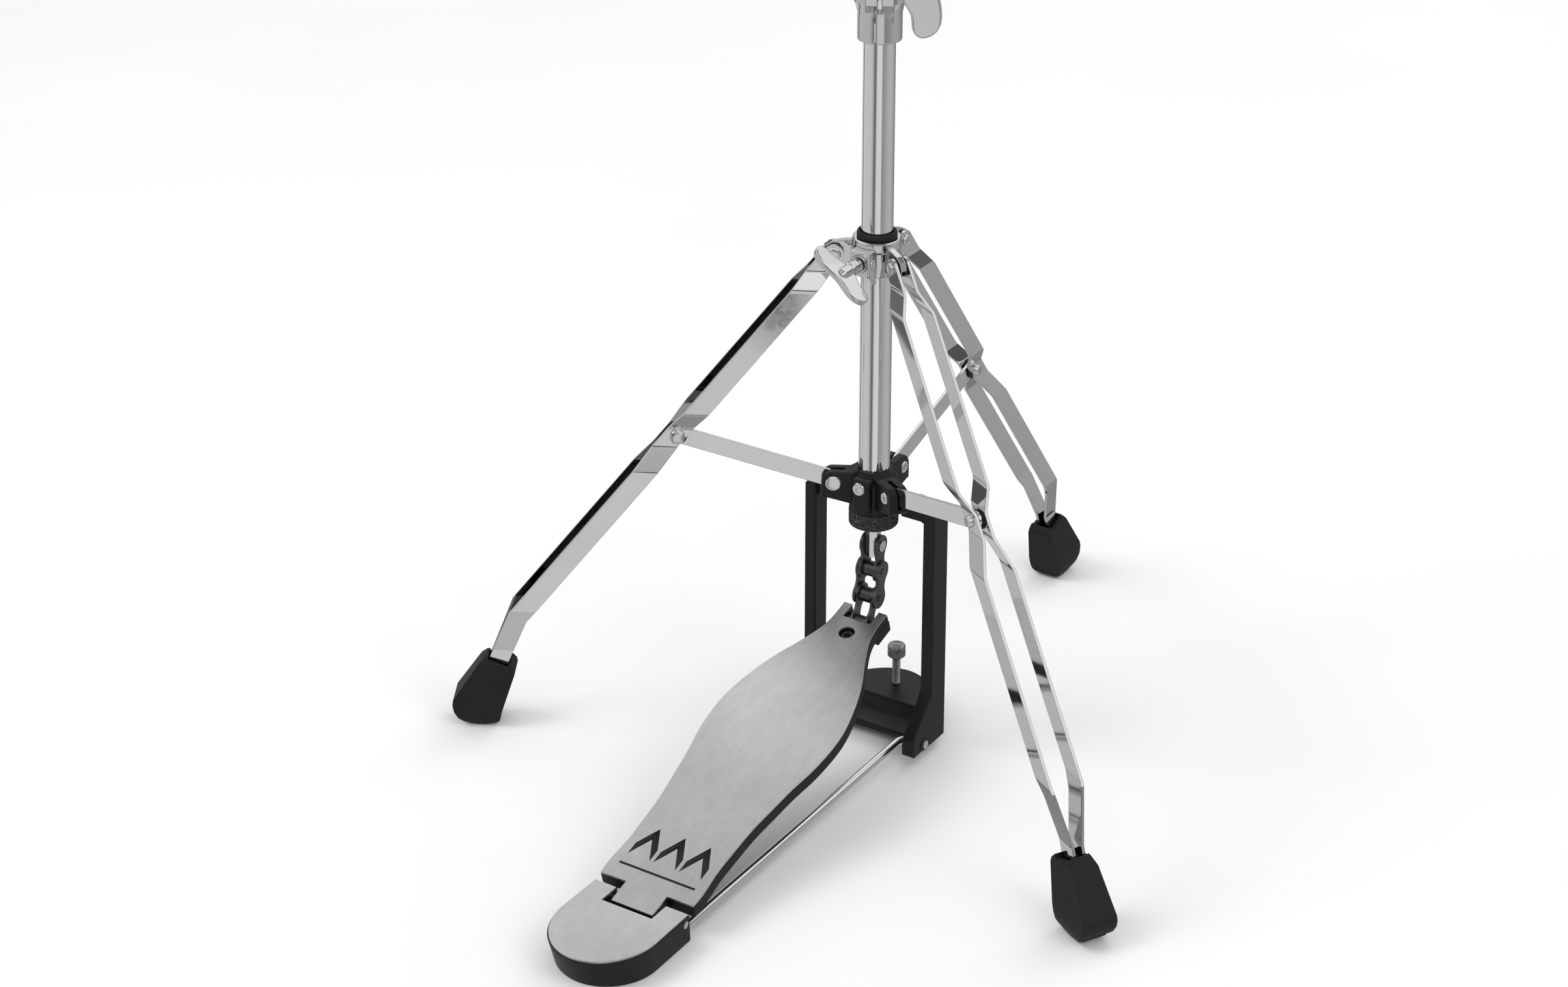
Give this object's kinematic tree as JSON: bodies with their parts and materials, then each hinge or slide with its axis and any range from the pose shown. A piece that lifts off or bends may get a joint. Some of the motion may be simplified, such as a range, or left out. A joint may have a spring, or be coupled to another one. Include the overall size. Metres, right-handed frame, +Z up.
{
  "type": "hi-hat stand",
  "caption": "Hi-hat stand with a folding strip-steel tripod, chain-driven footboard, sprung pull rod, telescopic tube, cymbal seat and clutch.",
  "frame": {"origin": "on the tube's axis at floor level, on the underside of the base pad", "axes": "+Z up along the tube, +Y from the heel plate towards the rear leg, +X to the player's right"},
  "size_m": [0.5312, 0.6653, 0.96],
  "materials": {
    "chrome_tube": "bright chrome plating",
    "chrome_strip": "bright chrome plated steel strip",
    "chrome_cast": "chrome plated die casting",
    "bright_steel": "bright zinc plated steel",
    "spring_steel": "drawn spring wire",
    "zinc_knurled": "zinc plated, knurled head and rolled thread",
    "chain_steel": "dark oiled gunmetal",
    "black_casting": "satin black powder coat",
    "black_plastic": "satin black moulding",
    "brushed_plate": "brushed lengthwise grain",
    "black_rubber": "matte moulded rubber",
    "black_nylon": "moulded nylon",
    "grey_foam": "open grained dense foam",
    "felt": "pressed wool felt"
  },
  "bodies": {
    "base": {"pedal_frame": "black_casting", "tripod_hub": "black_plastic", "lower_tube": "chrome_tube", "foam_bumper": "grey_foam", "hub_set_bolt": "bright_steel", "hub_side_bolts": "bright_steel", "hub_rivets": "bright_steel", "rod_guide": "black_nylon", "radius_rods": "bright_steel", "rod_bushes": "black_nylon", "heel_base": "black_casting", "heel_cover": "brushed_plate", "heel_pin": "bright_steel", "base_pad": "black_rubber", "height_clamp": "chrome_cast", "clamp_sleeve": "black_nylon", "return_spring": "spring_steel"},
    "footboard": {"footboard_base": "black_casting", "footboard_plate": "brushed_plate", "footboard_screw": "chain_steel"},
    "rod": {"pull_rod": "bright_steel", "rod_connector": "bright_steel", "spring_nut": "bright_steel", "chain_top_pin": "bright_steel"},
    "link_top": {"chain_link_top": "chain_steel"},
    "link_middle": {"chain_link_middle": "chain_steel"},
    "link_bottom": {"chain_link_bottom": "chain_steel", "toe_pin": "chain_steel"},
    "collar": {"leg_collar": "chrome_cast", "collar_ring": "black_rubber", "collar_sleeve": "black_nylon", "collar_rivets": "bright_steel"},
    "collar_wing": {"collar_wing_screw": "chrome_cast"},
    "clamp_wing": {"clamp_wing_bolt": "chrome_cast"},
    "spur": {"spur_screw": "zinc_knurled"},
    "upper": {"upper_tube": "chrome_tube", "seat_cup": "chrome_cast", "seat_felt": "felt"},
    "tilter": {"tilter_screw": "zinc_knurled"},
    "clutch": {"clutch_body": "chrome_cast", "clutch_felts": "felt", "clutch_nuts": "chrome_cast"},
    "clutch_wing": {"clutch_wing_screw": "chrome_cast"},
    "leg_left": {"leg_left": "chrome_strip", "leg_left_foot": "black_rubber", "leg_left_rivet": "bright_steel", "leg_left_washers": "black_nylon"},
    "brace_left": {"brace_left": "chrome_strip"},
    "leg_right": {"leg_right": "chrome_strip", "leg_right_foot": "black_rubber", "leg_right_rivet": "bright_steel", "leg_right_washers": "black_nylon"},
    "brace_right": {"brace_right": "chrome_strip"},
    "leg_rear": {"leg_rear": "chrome_strip", "leg_rear_foot": "black_rubber", "leg_rear_rivet": "bright_steel", "leg_rear_washers": "black_nylon"},
    "brace_rear": {"brace_rear": "chrome_strip"}
  },
  "joints": [
    {"name": "footboard_press", "type": "hinge", "parent": "base", "child": "footboard", "pos_m": [0, -0.2903, 0.0154], "axis": [-1, 0, 0], "range_deg": [0, 8]},
    {"name": "rod_slide", "type": "slide", "parent": "base", "child": "rod", "axis": [0, 0, -1], "range_m": [0, 0.037], "stiffness_N_per_m": 400, "springref_m": -0.02, "deforming": ["return_spring"]},
    {"name": "chain_top_pivot", "type": "hinge", "parent": "rod", "child": "link_top", "pos_m": [0, 0, 0.146], "axis": [1, 0, 0], "range_deg": [0, 2.6]},
    {"name": "chain_middle_pivot", "type": "hinge", "parent": "link_top", "child": "link_middle", "pos_m": [0, -0.0015, 0.127], "axis": [1, 0, 0], "range_deg": [0, 2.7]},
    {"name": "chain_bottom_pivot", "type": "hinge", "parent": "link_middle", "child": "link_bottom", "pos_m": [0, -0.0055, 0.1084], "axis": [1, 0, 0], "range_deg": [0, 12.3]},
    {"name": "collar_slide", "type": "slide", "parent": "base", "child": "collar", "axis": [0, 0, 1], "range_m": [0, 0.1077]},
    {"name": "collar_wing_turn", "type": "hinge", "parent": "collar", "child": "collar_wing", "pos_m": [0, -0.042, 0.366], "axis": [0, -1, 0], "continuous": true},
    {"name": "clamp_wing_turn", "type": "hinge", "parent": "base", "child": "clamp_wing", "pos_m": [0.01275, -0.02208, 0.5645], "axis": [0.866, 0.5, 0], "continuous": true},
    {"name": "height_slide", "type": "slide", "parent": "base", "child": "upper", "axis": [0, 0, 1], "range_m": [-0.1, 0.03]},
    {"name": "tilter_turn", "type": "hinge", "parent": "upper", "child": "tilter", "pos_m": [0.0186, 0, 0.735], "axis": [0, 0, 1], "continuous": true},
    {"name": "clutch_slide", "type": "slide", "parent": "rod", "child": "clutch", "axis": [0, 0, 1], "range_m": [-0.01, 0.04]},
    {"name": "clutch_wing_turn", "type": "hinge", "parent": "clutch", "child": "clutch_wing", "pos_m": [0, -0.025, 0.906], "axis": [0, -1, 0], "continuous": true},
    {"name": "spur_slide", "type": "slide", "parent": "base", "child": "spur", "axis": [0, 0, -1], "range_m": [0, 0.01]},
    {"name": "leg_left_fold", "type": "hinge", "parent": "collar", "child": "leg_left", "pos_m": [-0.02555, -0.01475, 0.3664], "axis": [0.5, -0.866, 0], "range_deg": [0, 25.5]},
    {"name": "brace_left_fold", "type": "hinge", "parent": "base", "child": "brace_left", "pos_m": [-0.0246, -0.0142, 0.1955], "axis": [-0.5, 0.866, 0], "range_deg": [0, 54]},
    {"name": "leg_right_fold", "type": "hinge", "parent": "collar", "child": "leg_right", "pos_m": [0.02555, -0.01475, 0.3664], "axis": [0.5, 0.866, 0], "range_deg": [0, 25.5]},
    {"name": "brace_right_fold", "type": "hinge", "parent": "base", "child": "brace_right", "pos_m": [0.0246, -0.0142, 0.1955], "axis": [-0.5, -0.866, 0], "range_deg": [0, 54]},
    {"name": "leg_rear_fold", "type": "hinge", "parent": "collar", "child": "leg_rear", "pos_m": [0, 0.0295, 0.3664], "axis": [-1, 0, 0], "range_deg": [0, 25.5]},
    {"name": "brace_rear_fold", "type": "hinge", "parent": "base", "child": "brace_rear", "pos_m": [0, 0.0284, 0.1955], "axis": [1, 0, 0], "range_deg": [0, 54]}
  ],
  "couplings": [
    {"joint": "rod_slide", "follows": "footboard_press", "m_per_rad": 0.2643},
    {"joint": "chain_top_pivot", "follows": "footboard_press", "ratio": 0.3125},
    {"joint": "chain_middle_pivot", "follows": "footboard_press", "ratio": 0.325},
    {"joint": "chain_bottom_pivot", "follows": "footboard_press", "ratio": 1.5125},
    {"joint": "leg_left_fold", "follows": "collar_slide", "rad_per_m": 4.116},
    {"joint": "brace_left_fold", "follows": "collar_slide", "rad_per_m": 8.718},
    {"joint": "leg_right_fold", "follows": "collar_slide", "rad_per_m": 4.116},
    {"joint": "brace_right_fold", "follows": "collar_slide", "rad_per_m": 8.718},
    {"joint": "leg_rear_fold", "follows": "collar_slide", "rad_per_m": 4.116},
    {"joint": "brace_rear_fold", "follows": "collar_slide", "rad_per_m": 8.718}
  ]
}
